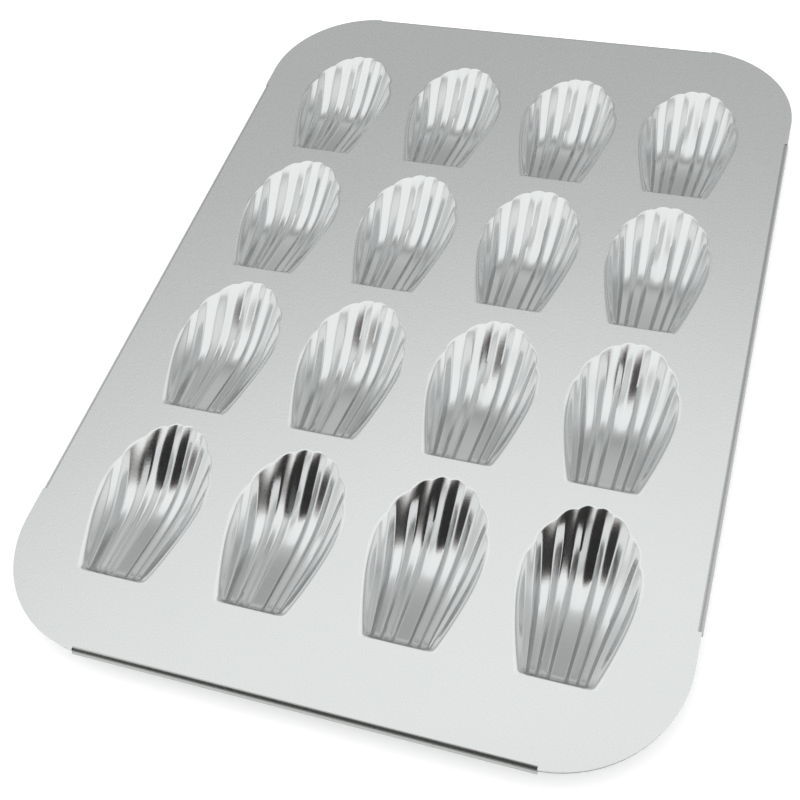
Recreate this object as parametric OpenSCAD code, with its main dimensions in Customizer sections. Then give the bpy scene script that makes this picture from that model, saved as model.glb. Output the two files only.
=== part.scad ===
// Sheet-steel baking pan with shell-shaped wells, for small fluted cakes.
// One pressed sheet holds the deck, the wells drawn down from it and the rolled edges; a wire loop
// stiffens the rim. Millimetres, +Z up, +Y towards the wide ends of the wells. The origin is under the
// middle of the pan, on the surface that the pan stands on.

/* [Pan] */
// Width over the rolled sides
pan_w = 278; // [262:1:310]
// Length over the rolled ends
pan_l = 400; // [372:1:450]
// Radius of the four corners, over the rolled edge
corner_r = 51.4; // [30:0.1:64]
// Thickness of the steel sheet
sheet_t = 0.8; // [0.5:0.05:1.2]
// How far the flat corners stay inside the line of the rolled edges
corner_inset = 0.6; // [0:0.1:2]

/* [Rolled rim] */
// Diameter of the rim wire
wire_d = 2.8; // [2:0.1:4]
// Clearance between the wire and the sheet rolled round it
wire_gap = 0.1; // [0.05:0.05:0.4]
// Angle through which the edge is rolled, from the deck's top
roll_angle = 270; // [200:5:300]
// How far the roll at each end of the pan runs past the start of the corners
end_roll_past = 4.4; // [0:0.1:8]
// How far the roll at each side of the pan stops short of the corners
side_roll_short = 14.6; // [2:0.1:40]

/* [Layout of the wells] */
// Wells across the pan
columns = 4; // [1:1:4]
// Wells along the pan
rows = 4; // [1:1:4]
// Flat deck left between two wells side by side
column_gap = 12.1; // [4:0.1:20]
// Flat deck left between two rows
row_gap = 6.7; // [3:0.1:14]

/* [One well] */
// Length at the deck, from the straight end to the crown of the fan
well_l = 76; // [68:0.5:78]
// Greatest width at the deck
well_w = 46; // [38:0.5:49]
// Width of the straight end
well_end_w = 28.6; // [20:0.1:34]
// Length of the fan, from the widest place to the crown
fan_l = 35; // [24:0.5:40]
// Depth below the deck
well_depth = 14; // [9:0.5:20]
// Run of the steep wall at the straight end
end_wall_run = 1.8; // [1:0.1:4]
// Width of the soft lip round the well
lip_w = 1.2; // [0.6:0.1:2]
// Drop of the lip where it turns into the well's wall
lip_drop = 0.5; // [0.2:0.1:1]
// Height of the flutes' crests at the straight end
crest_low = 1.2; // [0.4:0.1:2]
// Height of the flutes' crests in the fan
crest_high = 1.7; // [0.4:0.1:2.4]

/* [Hidden] */

// Rim, from the wire outwards. The wire's centre lies one roll radius in from the edge and below the deck's top.
roll_r = wire_d / 2 + wire_gap + sheet_t;
deck_top = well_depth + sheet_t;
wire_z = deck_top - roll_r;
end_roll_l = pan_w - 2 * corner_r + 2 * end_roll_past;
side_roll_l = pan_l - 2 * corner_r - 2 * side_roll_short;
round_steps = 96;

// Spacing of the wells, from the size of one with its lip and the deck left between
column_pitch = well_w + 2 * lip_w + column_gap;
row_pitch = well_l + 2 * lip_w + row_gap;

// Flutes. Four sharp valleys run from the straight end to the fan on each side of the middle, with a
// crest in the middle and one between each two valleys. Each list goes from the middle outwards.
// Where a valley starts, as a share of half the straight end
valley_start = [0.18, 0.48, 0.73, 0.91];
// Where it ends, as an angle round the fan from the crown
valley_angle = [9, 28, 55, 77];
// How far it bows towards the middle on its way
valley_bow = [0, 0.3, 0.9, 0];
// Its greatest depth, as a share of the well's
valley_depth = [1, 0.88, 0.68, 0.32];
// Its depth at the foot of the end wall, as a share of its greatest
valley_foot = [0.5, 0.48, 0.46, 0.23];

// Both ramps of a valley, as shares of its depth for its whole length, and the size of their blend
near_rise = 1.4;
far_fall = 3.3;
ramp_blend = 0.255;
// Where the crests lie between their valleys, from the straight end to the fan, and the most that a crest
// takes of the depth there
crest_place = [0.36, 0.5];
crest_share = 0.4;
// Slope of the lip's turn into the wall
lip_slope = 40;
// How quickly the sides widen from the straight end
side_power = 1.3;

// Lines of the shell: 0 is the middle crest, odd ones are valleys, even ones crests, and the last is the edge
edge_line = 8;
// Stations along a line, from the foot of the end wall to the fan
stations = [0, 0.17, 0.33, 0.45, 0.56, 0.68, 0.8, 0.91, 1];
last_row = len(stations);

function deck_name(r) = str("deck_r", r);
function well_name(r, c) = str("well_r", r, "_c", c);
function well_x(c) = (c - (columns + 1) / 2) * column_pitch;
function well_y(r) = ((rows + 1) / 2 - r) * row_pitch;

function mix(a, b, t) = a + (b - a) * t;
function unit(v) = v / norm(v);

// Half of the well's outline at the deck: the fan is half an ellipse, and the sides run in from its ends.
function widest_y() = well_l / 2 - fan_l;
function fan_point(angle) = [well_w / 2 * sin(angle), widest_y() + fan_l * cos(angle)];
function side_x(y) = mix(well_w / 2, well_end_w / 2,
    pow((widest_y() - y) / (widest_y() + well_l / 2), side_power));

// Depth of valley k at station s: two ramps with a soft blend, level over the deepest stretch
function valley_profile(k, s) =
    let (near = valley_foot[k] + near_rise * s, far = far_fall * (1 - s), half = (near - far) / 2)
    s == 1 ? 0 : min(1, (near + far) / 2 - norm([half, ramp_blend]));
function valley_point(k, s) =
    let (start = [valley_start[k] * well_end_w / 2, end_wall_run - well_l / 2],
         xy = mix(start, fan_point(valley_angle[k]), s))
    [xy.x - valley_bow[k] * 4 * s * (1 - s), xy.y, -well_depth * valley_depth[k] * valley_profile(k, s)];

// The crest outside valley k, lifted off the chord between its two valleys
function crest_point(k, s) =
    let (p = mix(valley_point(k, s), valley_point(k + 1, s), mix(crest_place[0], crest_place[1], s)))
    [p.x, p.y, p.z + min(mix(crest_low, crest_high, s), -p.z * crest_share)];

// The middle crest lies level with its valleys on the near ramp and rises off them on the far one
function middle_point(s) =
    let (v = valley_point(0, s), rise = crest_high * min(1, max(0, (s - 0.56) / 0.24)))
    [0, s == 1 ? fan_point(0).y : v.y, v.z + min(rise, -v.z * crest_share)];

function edge_point(s) =
    let (y = mix(end_wall_run - well_l / 2, widest_y(), s))
    [side_x(y), y, -lip_drop];

// A point of the baking face, on line i and row j. Row 0 is the top of the end wall.
function face_half(i, j) =
    let (s = stations[max(0, j - 1)],
         p = i == 0 ? middle_point(s)
           : i == edge_line ? edge_point(s)
           : i % 2 == 1 ? valley_point((i - 1) / 2, s)
           : crest_point(i / 2 - 1, s))
    j == 0 ? [i == edge_line ? well_end_w / 2 : p.x, -well_l / 2, -lip_drop]
    : j == last_row ? [p.x, p.y, -lip_drop]
    : p;
function face_point(i, j) =
    let (p = face_half(abs(i), j))
    [i < 0 ? -p.x : p.x, p.y, p.z];

// Grid places of the well's edge, once round, against the clock from above
function edge_places() = concat(
    [for (i = [-edge_line:edge_line - 1]) [i, 0]],
    [for (j = [0:last_row - 1]) [edge_line, j]],
    [for (i = [edge_line:-1:-edge_line + 1]) [i, last_row]],
    [for (j = [last_row:-1:1]) [-edge_line, j]]
);
function flat(p) = [p.x, p.y];
// Directions out of the well, square to its edge
function edge_outward(edge) =
    let (n = len(edge))
    [for (k = [0:n - 1])
        let (before = unit(flat(edge[k] - edge[(k + n - 1) % n])), after = unit(flat(edge[(k + 1) % n] - edge[k])),
             along = before + after)
        unit([along.y, -along.x])];
// Outline of the lip, where it meets the flat deck
function lip_outline() =
    let (edge = [for (g = edge_places()) face_point(g.x, g.y)], out = edge_outward(edge))
    [for (k = [0:len(edge) - 1]) flat(edge[k]) + lip_w * out[k]];

// The underside lies one sheet thickness below, and out by as much as keeps a sloping wall's thickness.
function underside(p, n) = [p.x - sheet_t * n.x / (1 + n.z), p.y - sheet_t * n.y / (1 + n.z), p.z - sheet_t];
function face_normal(i, j) =
    unit(cross(face_point(i + 1, j) - face_point(i - 1, j), face_point(i, j + 1) - face_point(i, j - 1)));
function lip_normal(out) = [-sin(lip_slope) * out.x, -sin(lip_slope) * out.y, cos(lip_slope)];

// Triangles of a closed strip between two rings of n points, from index a to index b
function strip(a, b, n) = [for (k = [0:n - 1])
    let (next = (k + 1) % n)
    each [[a + k, b + k, b + next], [a + k, b + next, a + next]]];
function reversed(faces) = [for (f = faces) [f[0], f[2], f[1]]];

// One well: a shell of sheet steel, its baking face and underside joined by the cut edge of the lip
module well_shell() {
    places = edge_places();
    ring = len(places);
    edge = [for (g = places) face_point(g.x, g.y)];
    out = edge_outward(edge);
    lip = lip_outline();
    inside = [for (j = [1:last_row - 1], i = [-edge_line + 1:edge_line - 1]) [i, j]];
    across = 2 * edge_line - 1;

    face = concat([for (p = lip) [p.x, p.y, 0]], edge, [for (g = inside) face_point(g.x, g.y)]);
    back = concat(
        [for (p = lip) [p.x, p.y, -sheet_t]],
        [for (k = [0:ring - 1]) underside(edge[k], lip_normal(out[k]))],
        [for (g = inside) underside(face_point(g.x, g.y), face_normal(g.x, g.y))]
    );
    // Index of a grid place in either list: the edge's places come before those inside it
    function place_index(i, j) =
        j == 0 ? ring + i + edge_line
        : j == last_row ? ring + 2 * edge_line + last_row + edge_line - i
        : i == edge_line ? ring + 2 * edge_line + j
        : i == -edge_line ? ring + (ring - j) % ring
        : 2 * ring + (j - 1) * across + i + edge_line - 1;
    // Each square of the grid is split so that both halves of the well mirror each other
    grid = [for (j = [0:last_row - 1], i = [-edge_line:edge_line - 1])
        let (a = place_index(i, j), b = place_index(i + 1, j),
             c = place_index(i + 1, j + 1), d = place_index(i, j + 1))
        each i < 0 ? [[a, d, b], [b, d, c]] : [[a, d, c], [a, c, b]]];
    top = concat(strip(0, ring, ring), grid);
    total = len(face);
    bottom = [for (f = reversed(top)) f + [total, total, total]];
    rim = strip(total, 0, ring);

    color("silver")
        polyhedron(points = concat(face, back), faces = concat(top, bottom, rim));
}

module well(r, c) {
    translate([well_x(c), well_y(r), deck_top])
        well_shell();
}

// The pan's outline over the rolled edges, drawn in by inset
module rounded_outline(inset) {
    r = corner_r - inset;
    hull()
        for (x = [-1, 1], y = [-1, 1])
            translate([x * (pan_w / 2 - corner_r), y * (pan_l / 2 - corner_r)])
                circle(r = r, $fn = round_steps);
}

// The flat sheet: flat corners, and sides cut back to where each roll starts
module deck_outline() {
    difference() {
        rounded_outline(corner_inset);
        for (side = [-1, 1]) {
            translate([side * pan_w / 2, 0])
                square([2 * roll_r, side_roll_l], center = true);
            translate([0, side * pan_l / 2])
                square([end_roll_l, 2 * roll_r], center = true);
        }
    }
}

// The band of the deck that carries row r, cut midway between the rows
module deck(r) {
    near = r == rows ? -pan_l / 2 : well_y(r) - row_pitch / 2;
    far = r == 1 ? pan_l / 2 : well_y(r) + row_pitch / 2;
    color("gainsboro")
        translate([0, 0, deck_top - sheet_t])
            linear_extrude(sheet_t)
                difference() {
                    intersection() {
                        deck_outline();
                        translate([-pan_w / 2, near])
                            square([pan_w, far - near]);
                    }
                    for (c = [1:columns])
                        translate([well_x(c), well_y(r)])
                            polygon(lip_outline());
                }
}

// Section of a rolled edge round the wire's centre, with the deck coming in from the left at the top
module roll_section() {
    open_from = 90;
    open_to = 450 - roll_angle;
    difference() {
        circle(r = roll_r, $fn = round_steps);
        circle(r = roll_r - sheet_t, $fn = round_steps);
        polygon(concat([[0, 0]],
            [for (k = [0:4])
                let (a = mix(open_from, open_to, k / 4))
                2 * roll_r * [cos(a), sin(a)]]));
    }
}

// A straight rolled edge of length l, with its outside towards turn, measured from +X
module hem(l, turn, reach) {
    color("darkgray")
        rotate(turn)
            translate([reach - roll_r, 0, wire_z])
                rotate([90, 0, 0])
                    linear_extrude(l, center = true)
                        roll_section();
}

// The closed loop of wire inside the rolled edges, which passes under the flat corners
module rim_wire() {
    bend_r = corner_r - roll_r;
    straight_w = pan_w - 2 * corner_r;
    straight_l = pan_l - 2 * corner_r;
    color("gray")
        translate([0, 0, wire_z])
            for (side = [-1, 1]) {
                translate([side * (pan_w / 2 - roll_r), 0])
                    rotate([90, 0, 0])
                        cylinder(h = straight_l, d = wire_d, center = true, $fn = round_steps);
                translate([0, side * (pan_l / 2 - roll_r)])
                    rotate([0, 90, 0])
                        cylinder(h = straight_w, d = wire_d, center = true, $fn = round_steps);
                for (y = [-1, 1])
                    translate([side * straight_w / 2, y * straight_l / 2])
                        mirror([side < 0 ? 1 : 0, 0])
                            mirror([0, y < 0 ? 1 : 0])
                                rotate_extrude(angle = 90, $fn = round_steps)
                                    translate([bend_r, 0])
                                        circle(d = wire_d, $fn = round_steps);
            }
}

for (r = [1:rows])
    deck(r);
hem(end_roll_l, -90, pan_l / 2);  // hem_front
hem(end_roll_l, 90, pan_l / 2);  // hem_back
hem(side_roll_l, 180, pan_w / 2);  // hem_left
hem(side_roll_l, 0, pan_w / 2);  // hem_right
rim_wire();
for (r = [1:rows], c = [1:columns])
    well(r, c);
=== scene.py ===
"""Looks of a sheet-steel baking pan with fluted shell wells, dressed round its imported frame.

Sizes are in millimetres in the pan's own frame (+Z up, +Y towards the wells' wide ends) and are turned to
metres where a mesh, a pattern or the camera is made.
"""
import logging
import math
from dataclasses import dataclass, field
from enum import Enum

import bpy
import numpy as np
from mathutils import Matrix, Vector

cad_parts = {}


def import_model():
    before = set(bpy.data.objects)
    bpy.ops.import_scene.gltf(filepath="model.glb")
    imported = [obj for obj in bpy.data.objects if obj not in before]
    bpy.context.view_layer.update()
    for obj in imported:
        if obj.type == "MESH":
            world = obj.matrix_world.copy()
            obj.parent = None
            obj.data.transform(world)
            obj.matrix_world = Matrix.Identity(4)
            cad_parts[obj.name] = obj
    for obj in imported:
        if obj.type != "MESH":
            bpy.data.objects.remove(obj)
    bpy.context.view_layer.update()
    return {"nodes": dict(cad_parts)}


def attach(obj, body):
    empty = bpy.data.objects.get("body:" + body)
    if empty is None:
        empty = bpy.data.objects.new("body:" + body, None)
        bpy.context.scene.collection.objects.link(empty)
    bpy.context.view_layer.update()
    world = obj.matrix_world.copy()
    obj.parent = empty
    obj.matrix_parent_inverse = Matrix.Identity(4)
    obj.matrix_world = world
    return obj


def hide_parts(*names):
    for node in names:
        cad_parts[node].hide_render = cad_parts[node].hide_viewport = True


MM = 0.001
LOG = logging.getLogger("pan")


class Slot(Enum):
    """The record's material slots."""

    DECK = "coated_steel_deck"
    WELL = "coated_steel_well"
    WIRE = "galvanised_wire"


def linear_colour(hex_code: str) -> tuple[float, float, float, float]:
    """Turns an sRGB hex colour to linear values.

    Args:
        hex_code: Colour such as "#a0b0c0".

    Returns:
        Linear red, green and blue, and an alpha of 1.
    """
    parts = [int(hex_code[i:i + 2], 16) / 255 for i in (1, 3, 5)]
    red, green, blue = [p / 12.92 if p <= 0.04045 else ((p + 0.055) / 1.055) ** 2.4 for p in parts]
    return red, green, blue, 1.0


def add_node(tree: bpy.types.NodeTree, kind: str, settings: dict | None = None,
             inputs: dict | None = None) -> bpy.types.Node:
    """Adds one shader node.

    Args:
        tree: Node tree that gets the node.
        kind: Blender's name of the node type.
        settings: Properties to set on the node.
        inputs: Values or output sockets for its inputs, by name or index.

    Returns:
        The new node.
    """
    node = tree.nodes.new(kind)
    for name, value in (settings or {}).items():
        setattr(node, name, value)
    for key, value in (inputs or {}).items():
        if isinstance(value, bpy.types.NodeSocket):
            tree.links.new(value, node.inputs[key])
        else:
            node.inputs[key].default_value = value
    return node


def mix(a: float, b: float, t: float) -> float:
    """Returns the value a share t of the way from a to b."""
    return a + (b - a) * t


def smooth_step(t: float) -> float:
    """Returns 0 below 0, 1 above 1, and an even S curve between."""
    t = min(1.0, max(0.0, t))
    return t * t * (3 - 2 * t)


def bezier(a: np.ndarray, b: np.ndarray, c: np.ndarray, t: float) -> np.ndarray:
    """Returns the point at t of the curve from a to c that is pulled towards b."""
    return (1 - t) ** 2 * a + 2 * t * (1 - t) * b + t * t * c


@dataclass(frozen=True)
class CoatedSteel:
    """Grey non-stick coating baked on pressed steel.

    It gives the eye a satin metal sheen over a fine orange-peel grain, with soft patches of tone. The real
    grain is too fine to show, so it is drawn as coarse as grain_mm.
    """

    name: str
    colour: str
    roughness: float
    grain_mm: float
    grain_height_mm: float
    metallic: float = 0.92
    patch_mm: float = 34.0
    grain_detail: float = 2.5
    grain_roughness: float = 0.6
    patch_detail: float = 3.0
    dark_tone: float = 0.95
    speckle_from: float = 0.35
    speckle_to: float = 0.65
    speckle_share: float = 0.5
    gloss_dip: float = 0.04
    gloss_rise: float = 0.05

    def make(self) -> bpy.types.Material:
        """Builds the material.

        Returns:
            The material, with its grain, soft patches of tone and uneven gloss.
        """
        material = bpy.data.materials.new(self.name)
        material.use_nodes = True
        tree = material.node_tree
        shader = tree.nodes["Principled BSDF"]
        place = add_node(tree, "ShaderNodeTexCoord").outputs["Object"]
        grain = add_node(tree, "ShaderNodeTexNoise", {"noise_dimensions": "3D"},
                         {"Vector": place, "Scale": 1 / (self.grain_mm * MM), "Detail": self.grain_detail,
                          "Roughness": self.grain_roughness})
        patches = add_node(tree, "ShaderNodeTexNoise", {"noise_dimensions": "3D"},
                           {"Vector": place, "Scale": 1 / (self.patch_mm * MM),
                            "Detail": self.patch_detail})
        base = linear_colour(self.colour)
        darker = tuple(self.dark_tone * c for c in base[:3]) + (1.0,)
        speckle = add_node(tree, "ShaderNodeMapRange", None,
                           {"Value": grain.outputs["Fac"], "From Min": self.speckle_from,
                            "From Max": self.speckle_to})
        shade = add_node(tree, "ShaderNodeMix", {"data_type": "FLOAT"},
                         {0: self.speckle_share, 2: patches.outputs["Fac"], 3: speckle.outputs["Result"]})
        tone = add_node(tree, "ShaderNodeMix", {"data_type": "RGBA"},
                        {"Factor": shade.outputs[0], "A": darker, "B": base})
        gloss = add_node(tree, "ShaderNodeMapRange", None,
                         {"Value": grain.outputs["Fac"], "To Min": self.roughness - self.gloss_dip,
                          "To Max": self.roughness + self.gloss_rise})
        bump = add_node(tree, "ShaderNodeBump", None,
                        {"Height": grain.outputs["Fac"], "Strength": 1.0,
                         "Distance": self.grain_height_mm * MM})
        tree.links.new(tone.outputs["Result"], shader.inputs["Base Color"])
        tree.links.new(gloss.outputs["Result"], shader.inputs["Roughness"])
        tree.links.new(bump.outputs["Normal"], shader.inputs["Normal"])
        shader.inputs["Metallic"].default_value = self.metallic
        return material


@dataclass(frozen=True)
class DrawnWire:
    """Galvanised steel wire, drawn through a die: dull zinc grey, faintly mottled and uneven."""

    name: str = "galvanised_drawn_wire"
    colour: str = "#8d9092"
    roughness: float = 0.45
    metallic: float = 1.0
    mottle_mm: float = 0.35
    mottle_height_mm: float = 0.02
    mottle_detail: float = 2.0
    dark_tone: float = 0.8

    def make(self) -> bpy.types.Material:
        """Builds the material.

        Returns:
            The material, with its mottled tone and slightly uneven surface.
        """
        material = bpy.data.materials.new(self.name)
        material.use_nodes = True
        tree = material.node_tree
        shader = tree.nodes["Principled BSDF"]
        place = add_node(tree, "ShaderNodeTexCoord").outputs["Object"]
        mottle = add_node(tree, "ShaderNodeTexNoise", None,
                          {"Vector": place, "Scale": 1 / (self.mottle_mm * MM),
                           "Detail": self.mottle_detail})
        base = linear_colour(self.colour)
        darker = tuple(self.dark_tone * c for c in base[:3]) + (1.0,)
        tone = add_node(tree, "ShaderNodeMix", {"data_type": "RGBA"},
                        {"Factor": mottle.outputs["Fac"], "A": darker, "B": base})
        bump = add_node(tree, "ShaderNodeBump", None,
                        {"Height": mottle.outputs["Fac"], "Distance": self.mottle_height_mm * MM})
        tree.links.new(tone.outputs["Result"], shader.inputs["Base Color"])
        tree.links.new(bump.outputs["Normal"], shader.inputs["Normal"])
        shader.inputs["Metallic"].default_value = self.metallic
        shader.inputs["Roughness"].default_value = self.roughness
        return material


@dataclass(frozen=True)
class Layout:
    """Sizes of the whole pan.

    The flat corners lie corner_inset inside the rolls. The rolls of the two ends run end_roll_past on into
    the corners, and those of the two sides stop side_roll_short of them.
    """

    width: float = 278.0
    length: float = 400.0
    corner_radius: float = 51.4
    corner_inset: float = 0.6
    sheet: float = 0.8
    roll_radius: float = 2.3
    end_roll_past: float = 4.4
    side_roll_short: float = 14.6
    columns: int = 4
    rows: int = 4
    column_pitch: float = 60.5
    row_pitch: float = 85.1
    deck_top: float = 14.8

    def well_centre(self, row: int, column: int) -> tuple[float, float]:
        """Finds the middle of a well.

        Args:
            row: Number of its row, counted from the far end.
            column: Number of its column, counted from the left.

        Returns:
            Its place across and along the pan.
        """
        across = (column - (self.columns + 1) / 2) * self.column_pitch
        along = ((self.rows + 1) / 2 - row) * self.row_pitch
        return across, along


@dataclass(frozen=True)
class ShellForm:
    """The fluted hollow: sharp valleys fan out from the straight end, with soft crests between them.

    Each tuple of valleys goes from the middle outwards. valley_start is a share of half the straight end,
    valley_angle is where the valley meets the fan, in degrees from the crown, and valley_bow is how far it
    bends towards the middle. valley_depth is a share of depth, and valley_foot of the valley's own depth,
    where the end wall meets the near ramp. From there a ramp falls at near_rise, the far ramp climbs at
    far_fall to reach the deck's level near far_end, and ramp_blend rounds the change between them.
    """

    length: float = 76.0
    width: float = 46.0
    end_width: float = 28.6
    fan_length: float = 35.0
    depth: float = 14.0
    wall_run: float = 1.8
    lip_side: float = 1.3
    lip_end: float = 0.5
    lip_fan: float = 0.25
    crest_low: float = 1.2
    crest_high: float = 1.7
    crest_share: float = 0.4
    crest_place: tuple[float, float] = (0.38, 0.5)
    crest_round: float = 0.12
    middle_from: float = 0.45
    middle_run: float = 0.35
    lobe_depth: float = 1.0
    lobe_power: float = 8.0
    side_power: float = 1.3
    near_rise: float = 1.4
    far_fall: float = 3.3
    ramp_blend: float = 0.392
    far_end: float = 1.0245
    valley_start: tuple[float, ...] = (0.18, 0.48, 0.73, 0.91)
    valley_angle: tuple[float, ...] = (9, 28, 55, 77)
    valley_bow: tuple[float, ...] = (0, 0.3, 0.9, 0)
    valley_depth: tuple[float, ...] = (1, 0.88, 0.68, 0.32)
    valley_foot: tuple[float, ...] = (0.5, 0.48, 0.46, 0.23)
    side_angle: float = 90.0

    @property
    def last_valley(self) -> int:
        """Number of the outermost valley."""
        return len(self.valley_start) - 1

    @property
    def outer_line(self) -> int:
        """Place across the flutes of the outermost valley."""
        return 2 * self.last_valley + 1

    @property
    def edge_line(self) -> int:
        """Place across the flutes of the well's edge."""
        return self.outer_line + 1

    @property
    def widest_y(self) -> float:
        """Where along the well its sides are widest."""
        return self.length / 2 - self.fan_length

    @property
    def foot_y(self) -> float:
        """Where along the well the end wall meets the near ramp."""
        return self.wall_run - self.length / 2

    def fan_point(self, angle: float) -> np.ndarray:
        """Returns the point of the fan's outline at an angle in degrees from the crown."""
        turn = math.radians(angle)
        return np.array([self.width / 2 * math.sin(turn), self.widest_y + self.fan_length * math.cos(turn)])

    def side_x(self, y: float) -> float:
        """Returns half the well's width at y, on the side below the fan."""
        share = max(0.0, (self.widest_y - y) / (self.widest_y + self.length / 2))
        return mix(self.width / 2, self.end_width / 2, share ** self.side_power)

    def valley(self, k: int, s: float) -> np.ndarray:
        """Finds a point of a valley.

        Args:
            k: Number of the valley, from the middle outwards.
            s: Share of the way from the straight end to the fan.

        Returns:
            The point, with the deck's top at z = 0.
        """
        start = np.array([self.valley_start[k] * self.end_width / 2, self.foot_y])
        x, y = mix(start, self.fan_point(self.valley_angle[k]), s)
        near = self.valley_foot[k] + self.near_rise * s
        far = self.far_fall * (self.far_end - s)
        share = (near + far) / 2 - math.hypot((near - far) / 2, self.ramp_blend)
        share = 0.0 if s >= 1 else max(0.0, share)
        # The bow is widest half way along.
        bow = self.valley_bow[k] * 4 * s * (1 - s)
        return np.array([x - bow, y, -self.depth * self.valley_depth[k] * share])

    def flute(self, a: float) -> tuple[int, float]:
        """Finds the flute that a line runs in.

        Args:
            a: Place across the flutes, past the first valley.

        Returns:
            Number of the valley on its inner side, and the share of the way from it to the next.
        """
        k = min(self.last_valley - 1, int((a - 1) // 2))
        return k, (a - 1) / 2 - k

    def edge(self, s: float) -> np.ndarray:
        """Returns the point of the side's edge at share s of the way up to the fan."""
        y = mix(self.foot_y, self.widest_y, s)
        return np.array([self.side_x(y), y, 0.0])

    def surface(self, line: float, s: float) -> np.ndarray:
        """Finds a point of the baking face.

        Args:
            line: Place across the flutes: 0 the middle, 1, 3, 5 and 7 the valleys, 8 the edge.
            s: Share of the way from the straight end to the fan.

        Returns:
            The point, with the deck's top at z = 0.
        """
        a = abs(line)
        t, rise, peak = 0.0, 0.0, 0.5
        if a <= 1:
            t = (1 + a) / 2
            p = self.valley(0, s) * np.array([a, 1, 1])
            rise = self.crest_high * smooth_step((s - self.middle_from) / self.middle_run)
            angle = self.valley_angle[0] * a
        elif a < self.outer_line:
            k, t = self.flute(a)
            p = mix(self.valley(k, s), self.valley(k + 1, s), t)
            rise = mix(self.crest_low, self.crest_high, s)
            peak = mix(self.crest_place[0], self.crest_place[1], s)
            angle = mix(self.valley_angle[k], self.valley_angle[k + 1], t)
        else:
            p = mix(self.valley(self.last_valley, s), self.edge(s), a - self.outer_line)
            angle = mix(self.valley_angle[-1], self.side_angle, a - self.outer_line)
        lift = rise * math.tanh(-p[2] * self.crest_share / rise) * self.hat(t, peak) if rise > 0 else 0.0
        place = p[:2] + (self.lobe_point(angle, t) - self.chord_end(a)) * s ** self.lobe_power
        return np.array([math.copysign(place[0], line), place[1], p[2] + lift])

    def hat(self, t: float, peak: float) -> float:
        """Returns a crest's height at t between its valleys: two straight faces with a rounded top."""
        rise, fall = t / peak, (1 - t) / (1 - peak)
        blunt = math.hypot((rise - fall) / 2, self.crest_round)
        return max(0.0, (rise + fall) / 2 - blunt + self.crest_round / 2)

    def lobe_point(self, angle: float, t: float) -> np.ndarray:
        """Returns the fan's outline with its lobes, round at the valleys and cusped at the crests."""
        crest = 1 - abs(2 * t - 1)
        p = self.fan_point(angle)
        out = np.array([p[0] / (self.width / 2) ** 2, (p[1] - self.widest_y) / self.fan_length ** 2])
        return p - out / np.linalg.norm(out) * self.lobe_depth * crest ** 2

    def chord_end(self, a: float) -> np.ndarray:
        """Returns where line a ends on the straight chord between the ends of its two valleys."""
        ends = [self.fan_point(angle) for angle in (*self.valley_angle, self.side_angle)]
        if a <= 1:
            return np.array([ends[0][0] * a, ends[0][1]])
        if a < self.outer_line:
            k, t = self.flute(a)
            return mix(ends[k], ends[k + 1], t)
        return mix(ends[-2], ends[-1], a - self.outer_line)

    def end_top(self, line: float) -> np.ndarray:
        """Returns the top of the end wall on a line, at the deck's level."""
        x = self.surface(line, 0)[0]
        past = abs(line) - self.outer_line
        if past > 0:
            half = self.end_width / 2
            x = math.copysign(mix(self.valley_start[-1] * half, half, past), line)
        return np.array([x, -self.length / 2, 0.0])


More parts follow.
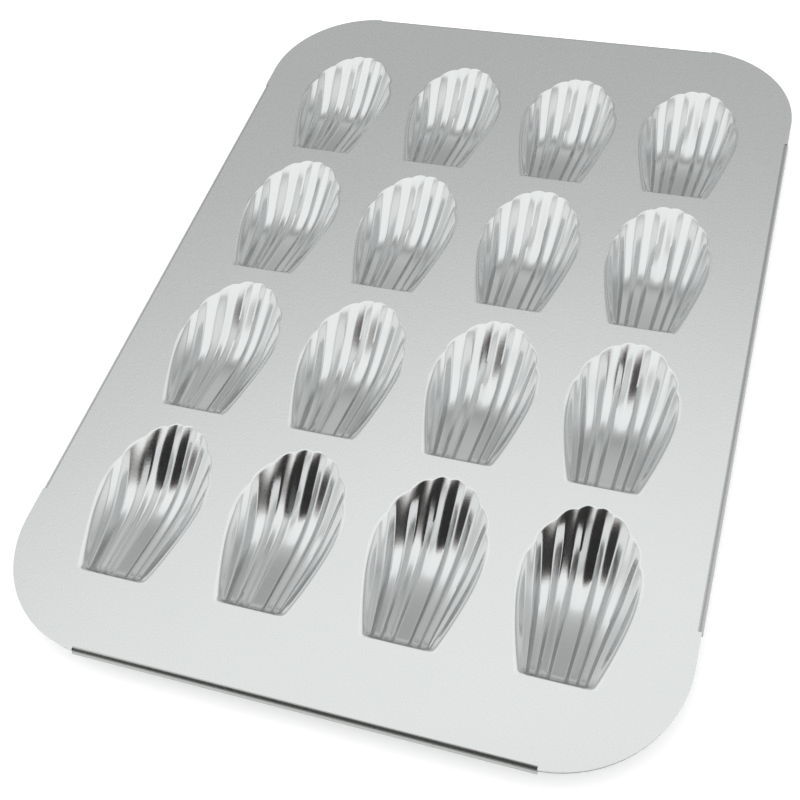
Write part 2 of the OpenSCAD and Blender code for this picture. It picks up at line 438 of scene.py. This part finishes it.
@dataclass
class WellPress:
    """The 16 shell wells, pressed down from the deck.

    The counts of cells set how fine the grid is. wall_top and fillet_top are shares of the end wall's height,
    ramp_start and ramp_end are shares of the way to the fan, and side_reach is how far the grid goes from the
    outermost valley to the edge. The lip fills the rest.
    """

    layout: Layout
    form: ShellForm = field(default_factory=ShellForm)
    middle_cells: int = 6
    flute_cells: int = 12
    side_cells: int = 4
    side_reach: float = 0.6
    wall_cells: int = 3
    fillet_cells: int = 5
    ramp_cells: int = 56
    lip_cells: int = 5
    wall_top: float = 0.75
    fillet_top: float = 0.35
    ramp_start: float = 0.05
    ramp_end: float = 0.993
    lip_passes: int = 3
    fan_lip_gain: float = 1.5
    smooth_degrees: float = 60.0

    def lines(self) -> list[float]:
        """Returns the places across the flutes, from the left to the right, evenly spaced in each flute."""
        form = self.form
        half = [i / self.middle_cells for i in range(1, self.middle_cells + 1)]
        for k in range(form.last_valley):
            half += [1 + 2 * k + 2 * i / self.flute_cells for i in range(1, self.flute_cells + 1)]
        for i in range(1, self.side_cells + 1):
            half.append(form.outer_line + self.side_reach * i / self.side_cells)
        return [-h for h in reversed(half)] + [0.0] + half

    def column(self, line: float) -> list[np.ndarray]:
        """Finds the points down one line, from the top of the end wall to the fan.

        Args:
            line: Place across the flutes.

        Returns:
            The points inside the lip.
        """
        foot = self.form.surface(line, 0)
        top = self.form.end_top(line)
        low = mix(foot, top, self.fillet_top)
        start = self.form.surface(line, self.ramp_start)
        wall = [mix(foot, top, mix(self.wall_top, self.fillet_top, i / self.wall_cells))
                for i in range(self.wall_cells)]
        fillet = [bezier(low, foot, start, i / self.fillet_cells) for i in range(self.fillet_cells)]
        ramp = [self.form.surface(line, mix(self.ramp_start, self.ramp_end, i / self.ramp_cells))
                for i in range(self.ramp_cells + 1)]
        return wall + fillet + ramp

    def border(self, wide: int, tall: int) -> list[tuple[int, int]]:
        """Lists the outermost places of the grid.

        Args:
            wide: Points across the grid.
            tall: Points along the grid.

        Returns:
            The places, across and along, once round against the clock.
        """
        near = [(i, 0) for i in range(wide - 1)]
        right = [(wide - 1, j) for j in range(tall - 1)]
        far = [(i, tall - 1) for i in range(wide - 1, 0, -1)]
        left = [(0, j) for j in range(tall - 1, 0, -1)]
        return near + right + far + left

    def edge_point(self, line: float, row: int) -> np.ndarray:
        """Finds the point of the well's edge that goes with an outermost place of the grid.

        Args:
            line: Place across the flutes.
            row: Row of the grid, from the top of the end wall.

        Returns:
            The point, at the deck's level.
        """
        ramp_row = self.wall_cells + self.fillet_cells
        if row == 0:
            return self.form.end_top(line)
        if row < ramp_row:
            p = self.column(line)[row]
        else:
            p = self.form.surface(line, mix(self.ramp_start, 1.0, (row - ramp_row) / self.ramp_cells))
        return np.array([p[0], p[1], 0.0])

    def build_mesh(self) -> tuple[bpy.types.Mesh, np.ndarray]:
        """Builds the baking face of one well about its own middle, as a grid with rings of lip round it.

        Returns:
            The mesh and the outline of its lip.
        """
        lines = self.lines()
        columns = [self.column(line) for line in lines]
        wide, tall = len(columns), len(columns[0])
        places = self.border(wide, tall)
        edge = []
        for i, j in places:
            at_side = i in (0, wide - 1)
            line = math.copysign(self.form.edge_line, lines[i]) if at_side else lines[i]
            edge.append(self.edge_point(line, j))
        lip = self.lip_outline(np.array(edge))
        points = [columns[i][j] for j in range(tall) for i in range(wide)]
        faces = [(j * wide + i, j * wide + i + 1, (j + 1) * wide + i + 1, (j + 1) * wide + i)
                 for j in range(tall - 1) for i in range(wide - 1)]
        count = len(places)
        before = [j * wide + i for i, j in places]
        for step in range(1, self.lip_cells + 1):
            share = step / self.lip_cells
            now = list(range(len(points), len(points) + count))
            points += [bezier(columns[i][j], edge[n], lip[n], share) for n, (i, j) in enumerate(places)]
            for n in range(count):
                m = (n + 1) % count
                faces.append((before[n], now[n], now[m], before[m]))
            before = now
        mesh = bpy.data.meshes.new("shell_face")
        mesh.from_pydata([tuple(p * MM) for p in points], [], faces)
        mesh.validate()
        return mesh, lip

    def lip_outline(self, edge: np.ndarray) -> np.ndarray:
        """Draws the outer line of the soft lip, square to the well's edge.

        Args:
            edge: Points of the well's edge, once round.

        Returns:
            Points of the lip's outer line.
        """
        along = np.roll(edge, -1, 0) - np.roll(edge, 1, 0)
        out = np.stack([along[:, 1], -along[:, 0], 0 * along[:, 0]], 1)
        out /= np.linalg.norm(out, axis=1, keepdims=True)
        for _ in range(self.lip_passes):
            out = (np.roll(out, 1, 0) + 2 * out + np.roll(out, -1, 0)) / 4
        out /= np.linalg.norm(out, axis=1, keepdims=True)
        near = np.clip(-out[:, 1], 0, 1) ** 2
        far = np.clip(out[:, 1] * self.fan_lip_gain, 0, 1)
        reach = mix(mix(self.form.lip_side, self.form.lip_end, near), self.form.lip_fan, far)
        return edge + out * reach[:, None]

    def build(self, material: bpy.types.Material) -> tuple[list[bpy.types.Object], np.ndarray]:
        """Builds and dresses every well.

        Args:
            material: Finish of the wells.

        Returns:
            The wells and the outline of one lip.
        """
        pattern, lip = self.build_mesh()
        wells = []
        for row in range(1, self.layout.rows + 1):
            for column in range(1, self.layout.columns + 1):
                x, y = self.layout.well_centre(row, column)
                mesh = pattern.copy()
                mesh.transform(Matrix.Translation(Vector((x, y, self.layout.deck_top)) * MM))
                well = bpy.data.objects.new(f"shell_well_r{row}_c{column}", mesh)
                bpy.context.scene.collection.objects.link(well)
                give_thickness(well, self.layout.sheet)
                shade_smooth(well, self.smooth_degrees)
                mesh.materials.append(material)
                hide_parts(f"well_r{row}_c{column}")
                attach(well, "root")
                wells.append(well)
        bpy.data.meshes.remove(pattern)
        return wells, lip


def select_only(piece: bpy.types.Object) -> None:
    """Makes piece the only selected and the active object."""
    bpy.ops.object.select_all(action="DESELECT")
    piece.select_set(True)
    bpy.context.view_layer.objects.active = piece


def give_thickness(piece: bpy.types.Object, sheet: float) -> None:
    """Turns an open face into sheet of that thickness, grown downwards.

    Args:
        piece: The face.
        sheet: Thickness in millimetres.
    """
    select_only(piece)
    solidify = piece.modifiers.new("sheet", "SOLIDIFY")
    solidify.thickness = sheet * MM
    solidify.offset = -1
    solidify.use_even_offset = False
    bpy.ops.object.modifier_apply(modifier=solidify.name)


def shade_smooth(piece: bpy.types.Object, degrees: float) -> None:
    """Smooths the shading of edges flatter than that many degrees."""
    select_only(piece)
    bpy.ops.object.shade_smooth_by_angle(angle=math.radians(degrees))


@dataclass
class Deck:
    """The flat sheet between the wells, with its wide round corners."""

    layout: Layout
    corner_cells: int = 40
    smooth_degrees: float = 30.0

    def outline(self) -> list[tuple[float, float]]:
        """Draws the deck's edge: flat corners, and sides cut back to where each roll starts.

        Returns:
            The edge's points, once round against the clock.
        """
        size = self.layout
        flat_x = size.width / 2 - size.corner_inset
        roll_x = size.width / 2 - size.roll_radius
        roll_y = size.length / 2 - size.roll_radius
        bend_x = size.width / 2 - size.corner_radius
        bend_y = size.length / 2 - size.corner_radius
        radius = size.corner_radius - size.corner_inset
        end_half = bend_x + size.end_roll_past
        side_half = bend_y - size.side_roll_short
        quarter = [(roll_x, side_half), (flat_x, side_half)]
        for step in range(self.corner_cells + 1):
            turn = math.radians(90 * step / self.corner_cells)
            x, y = bend_x + radius * math.cos(turn), bend_y + radius * math.sin(turn)
            if x > end_half:
                quarter.append((x, y))
        edge_y = bend_y + math.sqrt(radius ** 2 - (end_half - bend_x) ** 2)
        quarter += [(end_half, edge_y), (end_half, roll_y)]
        half = quarter + [(-x, y) for x, y in reversed(quarter)]
        return half + [(-x, -y) for x, y in half]

    def loops(self, lip: np.ndarray) -> list[list[tuple[float, float]]]:
        """Draws every line that bounds the deck.

        Args:
            lip: Outline of one well's lip, about the well's middle.

        Returns:
            The deck's edge, and then the lip of each well.
        """
        loops = [self.outline()]
        for row in range(1, self.layout.rows + 1):
            for column in range(1, self.layout.columns + 1):
                across, along = self.layout.well_centre(row, column)
                loops.append([(x + across, y + along) for x, y, _ in lip])
        return loops

    def build(self, lip: np.ndarray, material: bpy.types.Material) -> bpy.types.Object:
        """Builds the deck round the lips of the wells.

        Args:
            lip: Outline of one well's lip, about the well's middle.
            material: Finish of the deck.

        Returns:
            The deck.
        """
        points, edges = [], []
        for loop in self.loops(lip):
            first = len(points)
            points += [(x * MM, y * MM, self.layout.deck_top * MM) for x, y in loop]
            edges += [(first + n, first + (n + 1) % len(loop)) for n in range(len(loop))]
        mesh = bpy.data.meshes.new("deck_sheet")
        mesh.from_pydata(points, edges, [])
        deck = bpy.data.objects.new("deck_sheet", mesh)
        bpy.context.scene.collection.objects.link(deck)
        select_only(deck)
        bpy.ops.object.mode_set(mode="EDIT")
        bpy.ops.mesh.select_all(action="SELECT")
        bpy.ops.mesh.fill(use_beauty=True)
        bpy.ops.mesh.normals_make_consistent(inside=False)
        bpy.ops.object.mode_set(mode="OBJECT")
        if deck.data.polygons[0].normal.z < 0:
            deck.data.flip_normals()
        give_thickness(deck, self.layout.sheet)
        shade_smooth(deck, self.smooth_degrees)
        deck.data.materials.append(material)
        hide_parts(*[f"deck_r{row}" for row in range(1, self.layout.rows + 1)])
        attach(deck, "root")
        return deck


@dataclass
class RolledRim:
    """The four rolled edges, and the wire inside them, which is carried over from the frame."""

    layout: Layout
    roll_degrees: float = 270.0
    roll_cells: int = 36
    smooth_degrees: float = 40.0
    wire: str = "rim_wire"

    def roll(self, name: str, reach: float, half: float, turn: float,
             material: bpy.types.Material) -> bpy.types.Object:
        """Builds one rolled edge, from the deck's top over, down and under.

        Args:
            name: Side of the pan.
            reach: Distance from the middle of the pan to the outermost line of the roll.
            half: Half the roll's length.
            turn: Direction of the side in degrees, against the clock from +X.
            material: Finish of the roll.

        Returns:
            The rolled edge.
        """
        radius = self.layout.roll_radius
        points, faces = [], []
        for cell in range(self.roll_cells + 1):
            angle = math.radians(90 - self.roll_degrees * cell / self.roll_cells)
            x = reach - radius + radius * math.cos(angle)
            z = self.layout.deck_top - radius + radius * math.sin(angle)
            points += [(x * MM, -half * MM, z * MM), (x * MM, half * MM, z * MM)]
        for cell in range(self.roll_cells):
            first = 2 * cell
            faces.append((first, first + 2, first + 3, first + 1))
        mesh = bpy.data.meshes.new(f"rolled_edge_{name}")
        mesh.from_pydata(points, [], faces)
        mesh.transform(Matrix.Rotation(math.radians(turn), 4, "Z"))
        edge = bpy.data.objects.new(mesh.name, mesh)
        bpy.context.scene.collection.objects.link(edge)
        give_thickness(edge, self.layout.sheet)
        shade_smooth(edge, self.smooth_degrees)
        edge.data.materials.append(material)
        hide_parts(f"hem_{name}")
        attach(edge, "root")
        return edge

    def build(self, nodes: dict[str, bpy.types.Object], sheet: bpy.types.Material,
              wire: bpy.types.Material) -> list[bpy.types.Object]:
        """Builds the rolled edges and gives the wire its finish.

        Args:
            nodes: The frame's pieces by name.
            sheet: Finish of the rolled edges, whose darker grey is painted shade.
            wire: Finish of the rim wire.

        Returns:
            The rolled edges and the wire.
        """
        size = self.layout
        end_half = size.width / 2 - size.corner_radius + size.end_roll_past
        side_half = size.length / 2 - size.corner_radius - size.side_roll_short
        sides = (("right", size.width / 2, side_half, 0), ("back", size.length / 2, end_half, 90),
                 ("left", size.width / 2, side_half, 180), ("front", size.length / 2, end_half, 270))
        pieces = [self.roll(name, reach, half, turn, sheet) for name, reach, half, turn in sides]
        carried = nodes[self.wire]
        carried.data.materials.clear()
        carried.data.materials.append(wire)
        return pieces + [carried]


@dataclass(frozen=True)
class Studio:
    """White floor under a soft sky graded by height, with a dark card that shows only in reflections.

    The sky's stops go from the horizon to straight overhead. To the left and right it rises to side_level,
    as a direction's sideways share goes from side_from to side_to. The card's last two corners are the ends
    of its far edge, where it fades out over card_fade.
    """

    floor_side: float = 6000.0
    floor_gap: float = 0.2
    floor_colour: str = "#f6f6f6"
    floor_roughness: float = 0.9
    floor_glow: float = 0.3
    glow_colour: str = "#ffffff"
    camera_place: tuple[float, float, float] = (133.63, -341.12, 413.80)
    camera_right: tuple[float, float, float] = (0.94968, 0.29330, -0.10990)
    camera_up: tuple[float, float, float] = (-0.17308, 0.78387, 0.59632)
    camera_lens: float = 54.17
    camera_sensor: float = 36.0
    light_strength: float = 1.48
    sky: tuple[tuple[float, str], ...] = (
        (0.00, "#e1e1e1"), (0.10, "#bcbcbc"), (0.20, "#959595"), (0.35, "#b1b1b1"),
        (0.46, "#cecece"), (0.53, "#b8b8b8"), (0.60, "#999999"), (0.66, "#b6b6b6"),
        (0.74, "#cecece"), (0.80, "#fafafa"), (1.00, "#ffffff"))
    side_from: float = 0.30
    side_to: float = 0.85
    side_level: float = 0.85
    card_corners: tuple[tuple[float, float], ...] = (
        (-900.0, -1100.0), (900.0, -1100.0), (-280.0, -222.0), (850.0, 90.0))
    card_height: float = 430.0
    card_colour: str = "#0b0805"
    card_edge_colour: str = "#806040"
    card_fade: float = 90.0

    def place_camera(self, deck_top: float) -> None:
        """Sets the camera where the photograph was taken.

        Args:
            deck_top: Height of the deck's top, from which camera_place counts.
        """
        right, up = Vector(self.camera_right), Vector(self.camera_up)
        back = right.cross(up)
        data = bpy.data.cameras.new("camera")
        data.lens = self.camera_lens
        data.sensor_width = self.camera_sensor
        camera = bpy.data.objects.new("camera", data)
        bpy.context.scene.collection.objects.link(camera)
        turn = Matrix((right, up, back)).transposed().to_4x4()
        place = Vector(self.camera_place) + Vector((0, 0, deck_top))
        camera.matrix_world = Matrix.Translation(place * MM) @ turn
        bpy.context.scene.camera = camera

    def light(self) -> None:
        """Lights the scene from a sky whose tone follows its height, bright to the left and right."""
        world = bpy.data.worlds.new("studio")
        bpy.context.scene.world = world
        world.use_nodes = True
        tree = world.node_tree
        background = tree.nodes["Background"]
        way = add_node(tree, "ShaderNodeTexCoord").outputs["Generated"]
        axes = add_node(tree, "ShaderNodeSeparateXYZ", None, {0: way})
        sky = add_node(tree, "ShaderNodeValToRGB", None, {"Fac": axes.outputs["Z"]})
        elements = sky.color_ramp.elements
        for place, _ in self.sky[1:-1]:
            elements.new(place)
        for element, (place, colour) in zip(elements, self.sky):
            element.position = place
            element.color = linear_colour(colour)
        sideways = add_node(tree, "ShaderNodeMath", {"operation": "ABSOLUTE"}, {0: axes.outputs["X"]})
        sides = add_node(tree, "ShaderNodeMapRange", None,
                         {"Value": sideways.outputs[0], "From Min": self.side_from,
                          "From Max": self.side_to, "To Min": 0.0, "To Max": self.side_level})
        level = add_node(tree, "ShaderNodeMath", {"operation": "MAXIMUM"},
                         {0: sky.outputs["Color"], 1: sides.outputs["Result"]})
        tree.links.new(level.outputs[0], background.inputs["Color"])
        background.inputs["Strength"].default_value = self.light_strength

    def hang_card(self) -> bpy.types.Object:
        """Hangs the dark card at the camera's height, fading out along its far edge.

        Returns:
            The card.
        """
        bpy.ops.object.select_all(action="DESELECT")
        bpy.ops.mesh.primitive_plane_add(size=1, location=(0, 0, 0))
        card = bpy.context.object
        for vertex, (x, y) in zip(card.data.vertices, self.card_corners):
            vertex.co = Vector((x, y, self.card_height)) * MM
        card.name = "dark_card"
        card.visible_camera = False
        card.visible_diffuse = False
        card.visible_shadow = False
        material = bpy.data.materials.new("dark_card")
        material.use_nodes = True
        tree = material.node_tree
        shader = tree.nodes["Principled BSDF"]
        (left, start), (right, end) = self.card_corners[2:]
        slope = (end - start) / (right - left)
        place = add_node(tree, "ShaderNodeTexCoord").outputs["Object"]
        axes = add_node(tree, "ShaderNodeSeparateXYZ", None, {0: place})
        along = add_node(tree, "ShaderNodeMath", {"operation": "MULTIPLY_ADD"},
                         {0: axes.outputs["X"], 1: -slope, 2: axes.outputs["Y"]})
        edge = (start - slope * left) * MM
        fade = add_node(tree, "ShaderNodeMapRange", None,
                        {"Value": along.outputs[0], "From Min": edge - self.card_fade * MM,
                         "From Max": edge, "To Min": 1.0, "To Max": 0.0})
        tone = add_node(tree, "ShaderNodeMix", {"data_type": "RGBA"},
                        {"Factor": fade.outputs["Result"], "A": linear_colour(self.card_edge_colour),
                         "B": linear_colour(self.card_colour)})
        tree.links.new(tone.outputs["Result"], shader.inputs["Base Color"])
        tree.links.new(fade.outputs["Result"], shader.inputs["Alpha"])
        shader.inputs["Roughness"].default_value = 1.0
        shader.inputs["Specular IOR Level"].default_value = 0.0
        card.data.materials.append(material)
        return card

    def lay_floor(self) -> bpy.types.Object:
        """Lays the white floor under the pan.

        Returns:
            The floor.
        """
        bpy.ops.object.select_all(action="DESELECT")
        bpy.ops.mesh.primitive_plane_add(size=self.floor_side * MM, location=(0, 0, -self.floor_gap * MM))
        floor = bpy.context.object
        floor.name = "floor"
        material = bpy.data.materials.new("white_floor")
        material.use_nodes = True
        shader = material.node_tree.nodes["Principled BSDF"]
        shader.inputs["Base Color"].default_value = linear_colour(self.floor_colour)
        shader.inputs["Roughness"].default_value = self.floor_roughness
        shader.inputs["Emission Color"].default_value = linear_colour(self.glow_colour)
        shader.inputs["Emission Strength"].default_value = self.floor_glow
        floor.data.materials.append(material)
        return floor


def main(frame: dict) -> None:
    """Builds the pan's pieces in order, then the studio.
    """
    logging.basicConfig(level=logging.INFO, format="%(name)s: %(message)s")
    layout = Layout()
    # The flat sheet keeps the coating's own satin: a soft, even sheen.
    deck_finish = CoatedSteel("satin_coated_steel", "#c6c8c8", roughness=0.26, grain_mm=0.8,
                              grain_height_mm=0.026).make()
    # The press has drawn the coating smoother in the wells, so they mirror the room.
    well_finish = CoatedSteel("drawn_coated_steel", "#c6c8c8", roughness=0.16, grain_mm=0.9,
                              grain_height_mm=0.012, metallic=0.985).make()
    # The rolls get a darker grey than the deck: painted shade, standing in for the shadowed floor that their
    # undersides reflect.
    shaded_roll_finish = CoatedSteel("rolled_steel_painted_shade", "#a9aba9", roughness=0.24, grain_mm=0.8,
                              grain_height_mm=0.02).make()
    wire_finish = DrawnWire().make()
    wells, lip = WellPress(layout).build(well_finish)
    deck = Deck(layout).build(lip, deck_finish)
    rim = RolledRim(layout).build(frame["nodes"], shaded_roll_finish, wire_finish)
    for piece in [*wells, deck, *rim]:
        LOG.info("%s: %d faces in %s", piece.name, len(piece.data.polygons), piece.data.materials[0].name)
    studio = Studio()
    studio.place_camera(layout.deck_top)
    studio.light()
    for prop in (studio.hang_card(), studio.lay_floor()):
        LOG.info("%s: set up", prop.name)
    bpy.context.scene.view_settings.view_transform = "Standard"


if __name__ == "__main__":
    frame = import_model()
    main(frame)
